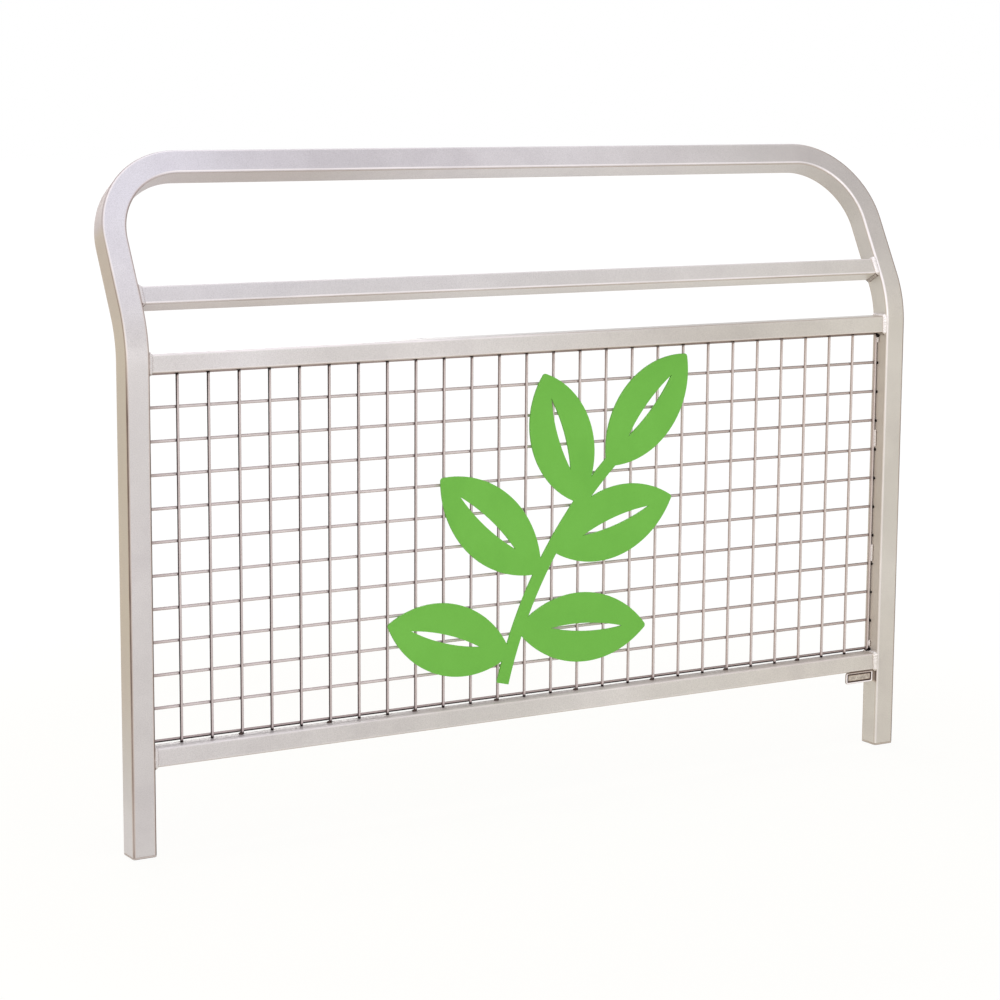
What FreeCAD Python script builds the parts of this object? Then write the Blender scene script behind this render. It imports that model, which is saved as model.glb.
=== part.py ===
import FreeCAD, Part
import math
import os

# Pedestrian guard railing. Millimetres. X runs along the railing, Y towards the leaning side, Z up.
# The origin is the middle of the left post's foot face.

# overall size
OVERALL_LENGTH = 1500.0
LEG_HEIGHT = 770.0
LEAN_ANGLE = 28.5
LEAN_RADIUS = 165.0
LEAN_LENGTH = 241.0
TOP_CORNER_RADIUS = 130.0

# hoop tube
TUBE = 40.0
TUBE_WALL = 3.0
TUBE_EDGE = 3.5
FOOT_CAP = 3.0

# cross rails
RAIL = 30.0
RAIL_WALL = 2.0
RAIL_EDGE = 3.0
BOTTOM_RAIL_HEIGHT = 156.0
PANEL_RAIL_BELOW_BEND = 0.0
MID_RAIL_PAST_BEND = 19.0
RAIL_WELD_LEG = 4.0
RAIL_WELD_LIP = 0.6

# welded mesh
WIRE = 5.0
WIRE_SIDES = 8
MESH_PITCH = 52.35
MESH_BACK_SETBACK = 1.0
MESH_CLEARANCE = 0.3
EDGE_WIRE_GAP = 0.8
LOW_ROW_GAP = 2.85

# tack welds
TACK_SIZE = 8.0
TACK_HEIGHT = 3.4
TACK_CREST_SHARE = 0.55
TACK_EVERY_COUNT = 3
SIDE_TACK_LENGTH = 32.0
CORNER_TACK_LENGTH = 12.0
SIDE_TACK_GAP = 2.0
SIDE_TACK_COUNT = 4
MOTIF_TACK_EVERY_COUNT = 5

# leaf motif, drawn at any scale and then fitted to the mesh's height
MOTIF_PLATE = 3.0
MOTIF_MARGIN = 22.0
MOTIF_SHIFT = 2.7
MOTIF_RISE = 4.0
LEAF_LENGTH = 255.0
LEAF_WIDTH = 126.0
LEAF_TIP_RADIUS = 6.0
VEIN_SHARE = 0.56
VEIN_WIDTH = 15.0
STEM_WIDTH = 24.0
STEM_LENGTH = 450.0
STEM_START_ANGLE = 76.0
STEM_END_ANGLE = 43.0
# each leaf: share of the stem's length, direction in degrees, share of the leaf length
LEAF_SHARES_AND_ANGLES = (
    (0.12, 163.0, 1.00),
    (0.22, -4.0, 1.06),
    (0.46, 138.0, 1.06),
    (0.56, 17.0, 1.04),
    (0.78, 108.0, 0.96),
    (0.97, 49.0, 0.99),
)

# blank tag on a small angle
TAG_LENGTH = 60.0
TAG_HEIGHT = 21.0
TAG_PLATE = 2.5
TAG_RIM = 2.0
TAG_RIM_DEPTH = 1.0
TAG_CORNER = 4.0
TAG_FROM_POST = 6.0
TAG_ANGLE_WIDTH = 34.0
TAG_ANGLE_LEG = 15.0
TAG_ANGLE_WALL = 2.0

os.makedirs("parts", exist_ok=True)

ORIGIN = FreeCAD.Vector(0, 0, 0)
X_AXIS = FreeCAD.Vector(1, 0, 0)
Y_AXIS = FreeCAD.Vector(0, 1, 0)
Z_AXIS = FreeCAD.Vector(0, 0, 1)

post_pitch = OVERALL_LENGTH - TUBE
post_face = TUBE / 2.0
clear_span = post_pitch - TUBE
lean = math.radians(LEAN_ANGLE)
up_lean = FreeCAD.Vector(0, math.sin(lean), math.cos(lean))
lean_face = FreeCAD.Vector(0, -math.cos(lean), math.sin(lean))
bend_pivot = FreeCAD.Vector(0, LEAN_RADIUS, LEG_HEIGHT)
bend_end = bend_pivot + lean_face * LEAN_RADIUS
panel_rail_height = LEG_HEIGHT - PANEL_RAIL_BELOW_BEND
panel_low = BOTTOM_RAIL_HEIGHT + RAIL / 2.0
panel_high = panel_rail_height - RAIL / 2.0


def save(shape, name):
    """Write one node, and stop if its shape is faulty."""
    if not shape.isValid():
        raise ValueError(name + " is not a valid shape")
    shape.exportStep("parts/" + name + ".step")


def mirrored(shape):
    """The same shape on the other side of the railing's middle."""
    return shape.mirror(FreeCAD.Vector(post_pitch / 2.0, 0, 0), X_AXIS)


def block(x0, x1, y0, y1, z0, z1):
    """Box between two corners."""
    return Part.makeBox(x1 - x0, y1 - y0, z1 - z0, FreeCAD.Vector(x0, y0, z0))


def rounded_square(side, edge):
    """Rounded square wire in the XY plane, centred."""
    reach = side / 2.0 - edge
    edges = []
    last = FreeCAD.Vector(side / 2.0, -reach, 0)
    for quarter in range(4):
        corner = math.radians(90.0 * quarter + 45.0)
        middle_x = math.copysign(reach, math.cos(corner))
        middle_y = math.copysign(reach, math.sin(corner))
        points = []
        for turn in (0.0, 45.0, 90.0):
            angle = math.radians(90.0 * quarter + turn)
            x = middle_x + edge * math.cos(angle)
            y = middle_y + edge * math.sin(angle)
            points.append(FreeCAD.Vector(x, y, 0))
        edges.append(Part.makeLine(last, points[0]))
        edges.append(Part.Arc(*points).toShape())
        last = points[2]
    return Part.Wire(edges)


def cut_corner_square(side, nip, height):
    """Corners of a square with cut corners, centred, parallel to the XY plane."""
    half = side / 2.0
    points = []
    for sx, sy in ((1, 1), (-1, 1), (-1, -1), (1, -1)):
        corner = [
            FreeCAD.Vector(sx * half, sy * (half - nip), height),
            FreeCAD.Vector(sx * (half - nip), sy * half, height),
        ]
        points += corner if sx * sy > 0 else corner[::-1]
    return points


def rectangle(u, v, height):
    """Corners of a rectangle, centred, parallel to the XY plane."""
    points = []
    for sx, sy in ((1, 1), (-1, 1), (-1, -1), (1, -1)):
        points.append(FreeCAD.Vector(sx * u / 2.0, sy * v / 2.0, height))
    return points


def flat_face(corners):
    """Face inside a closed polygon."""
    return Part.Face(Part.makePolygon(corners + corners[:1]))


def frustum(low, high):
    """Flat-sided solid between two polygons whose sides run parallel."""
    faces = [flat_face(low[::-1]), flat_face(high)]
    for index, corner in enumerate(low):
        after = (index + 1) % len(low)
        faces.append(flat_face([corner, low[after], high[after], high[index]]))
    return Part.makeSolid(Part.makeShell(faces))


def tube_face(side, wall, edge):
    """Face of a hollow square section in the XY plane, centred."""
    bore = side - 2.0 * wall
    corner = FreeCAD.Vector(-bore / 2.0, -bore / 2.0, 0)
    return Part.Face(rounded_square(side, edge)).cut(Part.makePlane(bore, bore, corner)).Faces[0]


def hoop_half():
    """Left half of the hoop: leg, lean bend, leaning stretch, top corner and half of the top rail."""
    section = tube_face(TUBE, TUBE_WALL, TUBE_EDGE)
    section.translate(Z_AXIS * FOOT_CAP)
    leg = section.extrude(Z_AXIS * (LEG_HEIGHT - FOOT_CAP))

    section.translate(Z_AXIS * (LEG_HEIGHT - FOOT_CAP))
    bend = section.revolve(bend_pivot, -X_AXIS, LEAN_ANGLE)
    section.rotate(bend_pivot, -X_AXIS, LEAN_ANGLE)

    straight_length = LEAN_LENGTH - TOP_CORNER_RADIUS
    straight = section.extrude(up_lean * straight_length)
    section.translate(up_lean * straight_length)

    corner_middle = bend_end + up_lean * straight_length + X_AXIS * TOP_CORNER_RADIUS
    corner = section.revolve(corner_middle, -lean_face, 90.0)
    section.rotate(corner_middle, -lean_face, 90.0)

    half_top = section.extrude(X_AXIS * (post_pitch / 2.0 - TOP_CORNER_RADIUS))
    return [leg, bend, straight, corner, half_top]


def rail_bar():
    """Hollow cross rail along X, starting at X = 0."""
    bar = tube_face(RAIL, RAIL_WALL, RAIL_EDGE).extrude(Z_AXIS * clear_span)
    bar.rotate(ORIGIN, Y_AXIS, 90.0)
    return bar


def rail_weld():
    """Fillet weld round a rail's end, against a post face at X = 0."""
    rail_nip = RAIL_EDGE * (2.0 - math.sqrt(2.0))
    root = cut_corner_square(RAIL + 2.0 * RAIL_WELD_LEG, rail_nip + RAIL_WELD_LEG / 2.0, 0.0)
    toe = cut_corner_square(RAIL + 2.0 * RAIL_WELD_LIP, rail_nip, RAIL_WELD_LEG)
    core = flat_face(cut_corner_square(RAIL, rail_nip, 0.0)).extrude(Z_AXIS * RAIL_WELD_LEG)
    bead = frustum(root, toe).cut(core)
    bead.rotate(ORIGIN, Y_AXIS, 90.0)
    return bead


def place_on_frame(shape, place, tilt):
    """Turn a shape about X by the tilt towards the back, then move it to its place."""
    placed = shape.copy()
    placed.rotate(ORIGIN, X_AXIS, -tilt)
    placed.translate(place)
    return placed


def wire_bar(length):
    """Straight wire along Z with few sides and a flat towards each of X and Y."""
    radius = WIRE / 2.0 / math.cos(math.pi / WIRE_SIDES)
    corners = []
    for index in range(WIRE_SIDES):
        angle = (index + 0.5) * 2.0 * math.pi / WIRE_SIDES
        corners.append(FreeCAD.Vector(radius * math.cos(angle), radius * math.sin(angle), 0))
    return flat_face(corners).extrude(Z_AXIS * length)


def room(wire):
    """Box round a straight wire."""
    box = wire.BoundBox
    return block(box.XMin, box.XMax, box.YMin, box.YMax, box.ZMin, box.ZMax)


def tack(u, v, axis, turn, seat, wires):
    """Weld lump on its seat: u and v are its foot's sides, and it is cut clear of the wires."""
    crest = rectangle(TACK_CREST_SHARE * u, TACK_CREST_SHARE * v, TACK_HEIGHT)
    lump = frustum(rectangle(u, v, 0.0), crest)
    lump.rotate(ORIGIN, axis, turn)
    lump.translate(seat)
    return lump.cut([room(wire) for wire in wires])


# hoop and its foot caps
halves = hoop_half()
hoop = halves[0].multiFuse(halves[1:] + [mirrored(piece) for piece in halves])
save(hoop.removeSplitter(), "hoop_tube")

cap = Part.Face(rounded_square(TUBE, TUBE_EDGE)).extrude(Z_AXIS * FOOT_CAP)
save(cap, "left_foot_cap")
save(mirrored(cap), "right_foot_cap")

# welded mesh between the two straight rails, with the uprights in front of the rows
row_y = RAIL / 2.0 - MESH_BACK_SETBACK - WIRE / 2.0
upright_y = row_y - WIRE
upright_front = upright_y - WIRE / 2.0

first_upright = post_face + EDGE_WIRE_GAP + WIRE / 2.0
upright_span = post_pitch - 2.0 * first_upright
upright_count = round(upright_span / MESH_PITCH) + 1
upright_step = upright_span / (upright_count - 1)
upright_xs = [first_upright + index * upright_step for index in range(upright_count)]

top_row = panel_high - MESH_CLEARANCE - WIRE / 2.0
low_row = panel_low + LOW_ROW_GAP + WIRE / 2.0
row_count = round((top_row - low_row) / MESH_PITCH) + 1
row_step = (top_row - low_row) / (row_count - 1)
row_zs = [top_row - index * row_step for index in range(row_count)]

uprights = []
for x in upright_xs:
    upright = wire_bar(panel_high - panel_low - 2.0 * MESH_CLEARANCE)
    upright.translate(FreeCAD.Vector(x, upright_y, panel_low + MESH_CLEARANCE))
    uprights.append(upright)
rows = []
for z in row_zs:
    row = wire_bar(clear_span - 2.0 * MESH_CLEARANCE)
    row.rotate(ORIGIN, Y_AXIS, 90.0)
    row.translate(FreeCAD.Vector(post_face + MESH_CLEARANCE, row_y, z))
    rows.append(row)
mesh = uprights[0].multiFuse(uprights[1:] + rows)
save(mesh, "mesh_panel")

# cross rails and the welds at their ends, clear of the mesh's outer wires
mid_place = bend_end + up_lean * MID_RAIL_PAST_BEND
rails = (
    ("bottom_rail", 0.0, BOTTOM_RAIL_HEIGHT, 0.0, [uprights[0], rows[-1]]),
    ("panel_top_rail", 0.0, panel_rail_height, 0.0, [uprights[0], rows[0]]),
    ("mid_rail", mid_place.y, mid_place.z, LEAN_ANGLE, [uprights[0], rows[0]]),
)
for name, y, z, tilt, wires in rails:
    place = FreeCAD.Vector(post_face, y, z)
    save(place_on_frame(rail_bar(), place, tilt), name)
    weld = place_on_frame(rail_weld(), place, tilt)
    weld = weld.cut([room(wire) for wire in wires])
    save(weld, name + "_weld_left")
    save(mirrored(weld), name + "_weld_right")

# tacks that hold the mesh to the rails above and below it
top_tacks = []
bottom_tacks = []
for index in range(TACK_EVERY_COUNT, upright_count - 1, TACK_EVERY_COUNT):
    side = upright_xs[index] - WIRE / 2.0
    high_seat = FreeCAD.Vector(side, upright_y, panel_high)
    low_seat = FreeCAD.Vector(side, upright_y, panel_low)
    high_wires = [uprights[index], rows[0]]
    low_wires = [uprights[index], rows[-1]]
    top_tacks.append(tack(TACK_SIZE, TACK_SIZE, X_AXIS, 180.0, high_seat, high_wires))
    bottom_tacks.append(tack(TACK_SIZE, TACK_SIZE, X_AXIS, 0.0, low_seat, low_wires))
save(Part.makeCompound(top_tacks), "mesh_tacks_top")
save(Part.makeCompound(bottom_tacks), "mesh_tacks_bottom")

# beads between the mesh's edge wires and the posts: long ones above a row, short ones in the corners
side_tacks = []
for number in range(SIDE_TACK_COUNT):
    index = math.ceil(number * (row_count - 1) / (SIDE_TACK_COUNT - 1))
    in_corner = number in (0, SIDE_TACK_COUNT - 1)
    length = CORNER_TACK_LENGTH if in_corner else SIDE_TACK_LENGTH
    from_row = WIRE / 2.0 + SIDE_TACK_GAP + length / 2.0
    height = row_zs[index] - from_row if number == 0 else row_zs[index] + from_row
    seat = FreeCAD.Vector(post_face, upright_front, height)
    near = [uprights[0], rows[index]]
    side_tacks.append(tack(length, TACK_SIZE, Y_AXIS, 90.0, seat, near))
left_tacks = Part.makeCompound(side_tacks)
save(left_tacks, "mesh_tacks_left")
save(mirrored(left_tacks), "mesh_tacks_right")


# leaf motif: a curved stem with leaves on both sides, cut from one plate
def flat(u, v):
    """Point of the motif's own drawing, in the XZ plane."""
    return FreeCAD.Vector(u, 0, v)


def lens(length, width):
    """Pointed oval from two arcs, along u from the drawing's origin."""
    low = Part.Arc(ORIGIN, flat(length / 2.0, -width / 2.0), flat(length, 0)).toShape()
    high = Part.Arc(flat(length, 0), flat(length / 2.0, width / 2.0), ORIGIN).toShape()
    return Part.Face(Part.Wire([low, high]))


def leaf(length, width):
    """Leaf outline with rounded tips."""
    inner = lens(length - 2.0 * LEAF_TIP_RADIUS, width - 2.0 * LEAF_TIP_RADIUS)
    inner.translate(flat(LEAF_TIP_RADIUS, 0))
    return inner.makeOffset2D(LEAF_TIP_RADIUS)


def vein(length):
    """Slot along the middle of a leaf, nearer to its foot."""
    slot = lens(length * VEIN_SHARE, VEIN_WIDTH)
    slot.translate(flat(length * (1.0 - VEIN_SHARE) * 0.58, 0))
    return slot


stem_turn = math.radians(STEM_START_ANGLE - STEM_END_ANGLE)
stem_radius = STEM_LENGTH / stem_turn


def stem_point(share, offset):
    """Point at a share of the stem's arc, moved outwards by the offset."""
    angle = math.radians(STEM_START_ANGLE) + math.pi / 2.0 - stem_turn * share
    reach = stem_radius + offset
    return flat(reach * math.cos(angle), reach * math.sin(angle))


inner_arc = [stem_point(share, -STEM_WIDTH / 2.0) for share in (0.0, 0.5, 1.0)]
outer_arc = [stem_point(share, STEM_WIDTH / 2.0) for share in (1.0, 0.5, 0.0)]
stem = Part.Face(Part.Wire([
    Part.Arc(*inner_arc).toShape(),
    Part.makeLine(inner_arc[2], outer_arc[0]),
    Part.Arc(*outer_arc).toShape(),
    Part.makeLine(outer_arc[2], inner_arc[0]),
]))
sheet = [stem]
slots = []
for share, direction, length_share in LEAF_SHARES_AND_ANGLES:
    length = LEAF_LENGTH * length_share
    for drawing, kept in ((leaf(length, LEAF_WIDTH), sheet), (vein(length), slots)):
        drawing.rotate(ORIGIN, -Y_AXIS, direction)
        drawing.translate(stem_point(share, 0.0))
        kept.append(drawing)
outline = sheet[0].multiFuse(sheet[1:]).removeSplitter()
outline = outline.cut(slots)
outline.scale((panel_high - panel_low - 2.0 * MOTIF_MARGIN) / outline.BoundBox.ZLength)
motif = outline.extrude(Y_AXIS * MOTIF_PLATE)
middle = motif.BoundBox.Center
motif.translate(FreeCAD.Vector(
    post_pitch / 2.0 + MOTIF_SHIFT - middle.x,
    upright_front - MOTIF_PLATE,
    (panel_low + panel_high) / 2.0 + MOTIF_RISE - middle.z))
save(motif, "motif_plate")

# tacks behind the motif, beside the uprights, where the plate covers them
spots = []
for upright, x in zip(uprights, upright_xs):
    for high, low in zip(row_zs, row_zs[1:]):
        seat = FreeCAD.Vector(x - WIRE / 2.0, upright_front, (high + low) / 2.0)
        covered = True
        for dx, dz in ((-1, -1), (1, -1), (-1, 1), (1, 1)):
            probe = seat + FreeCAD.Vector(dx * TACK_SIZE, -MOTIF_PLATE / 2.0, dz * TACK_SIZE)
            covered = covered and motif.isInside(probe, 0.01, True)
        if covered:
            spots.append((seat, upright))
motif_tacks = []
for seat, upright in spots[::MOTIF_TACK_EVERY_COUNT]:
    motif_tacks.append(tack(TACK_SIZE, TACK_SIZE, X_AXIS, -90.0, seat, [upright]))
save(Part.makeCompound(motif_tacks), "motif_tacks")

# blank tag with a raised rim, in front of a small angle under the bottom rail
tag_right = post_pitch - post_face - TAG_FROM_POST
tag_top = panel_low - RAIL - MESH_CLEARANCE
tag_front = -RAIL / 2.0
tag_back = tag_front + TAG_RIM_DEPTH + TAG_PLATE


def tag_blank(inset, front, back):
    """Rounded rectangle of the tag, drawn in by the inset, between two planes."""
    slab = block(
        tag_right - TAG_LENGTH + inset, tag_right - inset, front, back,
        tag_top - TAG_HEIGHT + inset, tag_top - inset)
    corners = [edge for edge in slab.Edges if abs(edge.tangentAt(edge.FirstParameter).y) > 0.9]
    return slab.makeFillet(TAG_CORNER - inset, corners)


tag = tag_blank(0.0, tag_front, tag_back)
save(tag.cut(tag_blank(TAG_RIM, tag_front, tag_front + TAG_RIM_DEPTH)), "tag_plate")

angle_left = tag_right - TAG_LENGTH / 2.0 - TAG_ANGLE_WIDTH / 2.0
angle_right = angle_left + TAG_ANGLE_WIDTH
rail_under = panel_low - RAIL
flange = block(
    angle_left, angle_right, tag_back, tag_back + TAG_ANGLE_LEG,
    rail_under - TAG_ANGLE_WALL, rail_under)
drop = block(
    angle_left, angle_right, tag_back, tag_back + TAG_ANGLE_WALL,
    rail_under - TAG_ANGLE_LEG, rail_under)
save(flange.fuse(drop).removeSplitter(), "tag_angle")
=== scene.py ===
import math

import bmesh
import bpy
from mathutils import Euler, Matrix, Vector, noise


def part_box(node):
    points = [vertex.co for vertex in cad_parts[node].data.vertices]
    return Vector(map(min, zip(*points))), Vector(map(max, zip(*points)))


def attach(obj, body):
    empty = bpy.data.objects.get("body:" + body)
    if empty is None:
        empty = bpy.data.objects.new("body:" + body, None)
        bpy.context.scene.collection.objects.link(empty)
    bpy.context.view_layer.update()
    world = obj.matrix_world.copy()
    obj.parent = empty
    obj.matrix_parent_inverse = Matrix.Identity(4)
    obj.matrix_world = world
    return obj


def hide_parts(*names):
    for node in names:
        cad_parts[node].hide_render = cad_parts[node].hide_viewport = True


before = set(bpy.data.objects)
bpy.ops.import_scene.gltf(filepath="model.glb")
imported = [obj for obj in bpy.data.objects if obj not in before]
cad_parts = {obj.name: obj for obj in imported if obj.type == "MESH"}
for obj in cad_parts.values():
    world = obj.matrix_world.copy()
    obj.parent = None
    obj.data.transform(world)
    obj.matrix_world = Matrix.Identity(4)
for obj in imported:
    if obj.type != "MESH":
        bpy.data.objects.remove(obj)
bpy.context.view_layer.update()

MM = 0.001

# the railing's own sizes, in millimetres
POST_PITCH = 1460.0
TUBE = 40.0
TUBE_EDGE = 3.5
FOOT_CAP = 3.0
LEG_HEIGHT = 770.0
LEAN = math.radians(28.5)
LEAN_RADIUS = 165.0
LEAN_LENGTH = 241.0
TOP_CORNER_RADIUS = 130.0
RAIL = 30.0
RAIL_EDGE = 3.0
BOTTOM_RAIL_HEIGHT = 156.0
MID_RAIL_PAST_BEND = 19.0
WIRE = 5.0
MESH_PITCH = 52.35
MESH_BACK_SETBACK = 1.0
MESH_CLEARANCE = 0.3
EDGE_WIRE_GAP = 0.8
LOW_ROW_GAP = 2.85
TACK_EVERY_COUNT = 3
SIDE_TACK_LENGTH = 32.0
CORNER_TACK_LENGTH = 12.0
SIDE_TACK_GAP = 2.0
SIDE_TACK_COUNT = 4

POST_FACE = TUBE / 2
RIGHT_FACE = POST_PITCH - POST_FACE
RAIL_UNDER = BOTTOM_RAIL_HEIGHT - RAIL / 2
PANEL_LOW = BOTTOM_RAIL_HEIGHT + RAIL / 2
PANEL_HIGH = LEG_HEIGHT - RAIL / 2
ROW_Y = RAIL / 2 - MESH_BACK_SETBACK - WIRE / 2
UPRIGHT_Y = ROW_Y - WIRE
UPRIGHT_FRONT = UPRIGHT_Y - WIRE / 2

X_AXIS = Vector((1, 0, 0))
Y_AXIS = Vector((0, 1, 0))
Z_AXIS = Vector((0, 0, 1))
UP_LEAN = Vector((0, math.sin(LEAN), math.cos(LEAN)))
BACK_LEAN = Vector((0, math.cos(LEAN), -math.sin(LEAN)))
BEND_END = Vector((0, LEAN_RADIUS, LEG_HEIGHT)) - BACK_LEAN * LEAN_RADIUS


def spread(first, last):
    """Even places from first to last, at about the mesh's pitch."""
    bays = round(abs(last - first) / MESH_PITCH)
    step = (last - first) / bays
    return [first + i * step for i in range(bays + 1)]


FIRST_UPRIGHT = POST_FACE + EDGE_WIRE_GAP + WIRE / 2
TOP_ROW = PANEL_HIGH - MESH_CLEARANCE - WIRE / 2
LOW_ROW = PANEL_LOW + LOW_ROW_GAP + WIRE / 2
UPRIGHT_XS = spread(FIRST_UPRIGHT, POST_PITCH - FIRST_UPRIGHT)
ROW_ZS = spread(TOP_ROW, LOW_ROW)


def smooth(low, high, value):
    """Smooth step from 0 to 1."""
    t = min(1.0, max(0.0, (value - low) / (high - low)))
    return t * t * (3 - 2 * t)


def within(span, value):
    """1 inside a span and 0 outside; the span says where the rise starts and ends, and the fall."""
    rise_from, rise_to, fall_from, fall_to = span
    return smooth(rise_from, rise_to, value) * (1 - smooth(fall_from, fall_to, value))


# mesh building
EDGE_STEPS = 8
STRIP = 1.2
STRIP_TURN = 0.6
SHADE_LIMIT = 1.2
FLAT_WEIGHT = 90
TUBE_SHARP = 40
PIECE_SHARP = 50

# corners of a square tube; on a cross rail the outer ones are above and the inner ones below
BACK_OUTER, BACK_INNER, FRONT_INNER, FRONT_OUTER = range(4)


def add_flat_normals(obj, keep_sharp):
    """Lets the large faces set the shading, so that flats stay flat beside rounded edges."""
    normals = obj.modifiers.new("flat faces", "WEIGHTED_NORMAL")
    normals.keep_sharp = keep_sharp
    normals.weight = FLAT_WEIGHT


class Build:
    """Collects vertices and faces in millimetres, with three values at each vertex: how far wear and
    painted highlights lighten the coat, how far grime and painted shade darken and dull it, and the
    shade, painted light above 0 and painted shade below, partly the coat's own tone."""

    def __init__(self):
        self.verts = []
        self.faces = []
        self.wear_and_highlight = []
        self.grime_and_shade = []
        self.shade = []

    def add(self, point, wear_and_highlight=0.0, grime_and_shade=0.0, shade=0.0):
        self.verts.append(tuple(point))
        self.wear_and_highlight.append(wear_and_highlight)
        self.grime_and_shade.append(grime_and_shade)
        self.shade.append(shade)
        return len(self.verts) - 1

    def skin(self, rings, path_closed=False):
        """Joins rings of vertex numbers, and caps the first and last unless the path is closed."""
        count = len(rings[0])
        after = rings[1:] + rings[:1] if path_closed else rings[1:]
        for a, b in zip(rings, after):
            for k in range(count):
                m = (k + 1) % count
                self.faces.append((a[k], a[m], b[m], b[k]))
        if not path_closed:
            self.faces.append(tuple(rings[0][::-1]))
            self.faces.append(tuple(rings[-1]))

    def make(self, name, nodes, slot, material, flat_faces=False, sharp=None):
        """One object that stands for the given nodes."""
        mesh = bpy.data.meshes.new(name)
        mesh.from_pydata([[c * MM for c in v] for v in self.verts], [], self.faces)
        bm = bmesh.new()
        bm.from_mesh(mesh)
        bmesh.ops.recalc_face_normals(bm, faces=bm.faces)
        bm.to_mesh(mesh)
        bm.free()
        for key, values in (("wear_and_highlight", self.wear_and_highlight), ("grime_and_shade", self.grime_and_shade), ("shade", self.shade)):
            mesh.attributes.new(key, "FLOAT", "POINT").data.foreach_set("value", values)
        mesh.polygons.foreach_set("use_smooth", [True] * len(mesh.polygons))
        if sharp is not None:
            mesh.set_sharp_from_angle(angle=math.radians(sharp))
        mesh.materials.append(material)
        obj = bpy.data.objects.new(name, mesh)
        bpy.context.scene.collection.objects.link(obj)
        if flat_faces:
            add_flat_normals(obj, keep_sharp=True)
        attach(obj, "root")
        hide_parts(*nodes)
        return obj


def square_profile(side, edge):
    """Rounded square outline as (a, b, turn, corner), with a narrow strip of flat beside each
    corner: turn goes from 0 at the corner's outer or inner side to 1 at its front or back, and
    beyond both on the flats."""
    reach = side / 2 - edge
    points = []
    for corner in range(4):
        middle = math.radians(90 * corner + 45)
        ca = math.copysign(reach, math.cos(middle))
        cb = math.copysign(reach, math.sin(middle))
        for k in range(-1, EDGE_STEPS + 2):
            arc = min(max(k, 0), EDGE_STEPS)
            angle = math.radians(90 * (corner + arc / EDGE_STEPS))
            beyond = STRIP * (k - arc)
            turn = arc / EDGE_STEPS + STRIP_TURN * (k - arc)
            a = ca + edge * math.cos(angle) - beyond * math.sin(angle)
            b = cb + edge * math.sin(angle) + beyond * math.cos(angle)
            points.append((a, b, turn if corner % 2 == 0 else 1 - turn, corner))
    return points


def patches(point, places):
    """Broad soft patches, lighter or darker, partly the coat's own tone and partly painted light and
    shade; places holds (x, height, radius, amount).
    """
    total = 0.0
    for x, z, radius, amount in places:
        total += amount * math.exp(-((point.x - x) ** 2 + (point.z - z) ** 2) / radius ** 2)
    return max(-SHADE_LIMIT, min(SHADE_LIMIT, total))


def sweep(build, profile, stations, tone, places):
    """Skins a profile along stations (origin, across, deep); tone gives wear with painted highlights,
    grime with painted shade, and shade, which is painted light and shade.
    """
    rings = []
    for origin, across, deep in stations:
        ring = []
        for a, b, turn, corner in profile:
            point = origin + across * a + deep * b
            wear_and_highlight, grime_and_shade, shade = tone(point, corner, turn)
            ring.append(build.add(point, wear_and_highlight, grime_and_shade, shade + patches(point, places)))
        rings.append(ring)
    build.skin(rings)
    return rings


# procedural materials
def new_material(name):
    material = bpy.data.materials.new(name)
    material.use_nodes = True
    tree = material.node_tree
    tree.nodes.clear()
    return material, tree


def math_node(tree, operation, *values):
    node = tree.nodes.new("ShaderNodeMath")
    node.operation = operation
    for socket, value in zip(node.inputs, values):
        if isinstance(value, (int, float)):
            socket.default_value = value
        else:
            tree.links.new(value, socket)
    return node.outputs[0]


def noise_value(tree, coords, scale, detail, rough=0.55):
    node = tree.nodes.new("ShaderNodeTexNoise")
    node.inputs["Scale"].default_value = scale
    node.inputs["Detail"].default_value = detail
    node.inputs["Roughness"].default_value = rough
    tree.links.new(coords, node.inputs["Vector"])
    return node.outputs["Fac"]


def ramp(tree, value, stops):
    node = tree.nodes.new("ShaderNodeValToRGB")
    elements = node.color_ramp.elements
    while len(elements) < len(stops):
        elements.new(0.5)
    for element, (position, colour) in zip(elements, stops):
        element.position = position
        element.color = (*colour, 1.0)
    tree.links.new(value, node.inputs["Fac"])
    return node.outputs["Color"]


def mix_colour(tree, factor, a, b, blend="MIX"):
    node = tree.nodes.new("ShaderNodeMix")
    node.data_type = "RGBA"
    node.blend_type = blend
    if isinstance(factor, float):
        node.inputs[0].default_value = factor
    else:
        tree.links.new(factor, node.inputs[0])
    for socket, value in ((node.inputs[6], a), (node.inputs[7], b)):
        if isinstance(value, tuple):
            socket.default_value = (*value, 1.0)
        else:
            tree.links.new(value, socket)
    return node.outputs[2]


def multiplied(tree, base, tint):
    return mix_colour(tree, 1.0, base, tint, "MULTIPLY")


def tinted(tree, amount, base, tint):
    """The base with a share of the tint multiplied in."""
    return mix_colour(tree, amount, base, multiplied(tree, base, tint))


def remap(tree, value, low, high, from_low=0.0, from_high=1.0):
    node = tree.nodes.new("ShaderNodeMapRange")
    node.inputs["From Min"].default_value = from_low
    node.inputs["From Max"].default_value = from_high
    node.inputs["To Min"].default_value = low
    node.inputs["To Max"].default_value = high
    tree.links.new(value, node.inputs["Value"])
    return node.outputs["Result"]


def bump(tree, height, strength, distance, under=None):
    node = tree.nodes.new("ShaderNodeBump")
    node.inputs["Strength"].default_value = strength
    node.inputs["Distance"].default_value = distance
    tree.links.new(height, node.inputs["Height"])
    if under is not None:
        tree.links.new(under, node.inputs["Normal"])
    return node.outputs["Normal"]


def attribute(tree, name):
    node = tree.nodes.new("ShaderNodeAttribute")
    node.attribute_name = name
    return node.outputs["Fac"]


def mix_shader(tree, factor, first, second):
    node = tree.nodes.new("ShaderNodeMixShader")
    for socket, value in zip(node.inputs, (factor, first, second)):
        tree.links.new(value, socket)
    return node.outputs[0]
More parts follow.
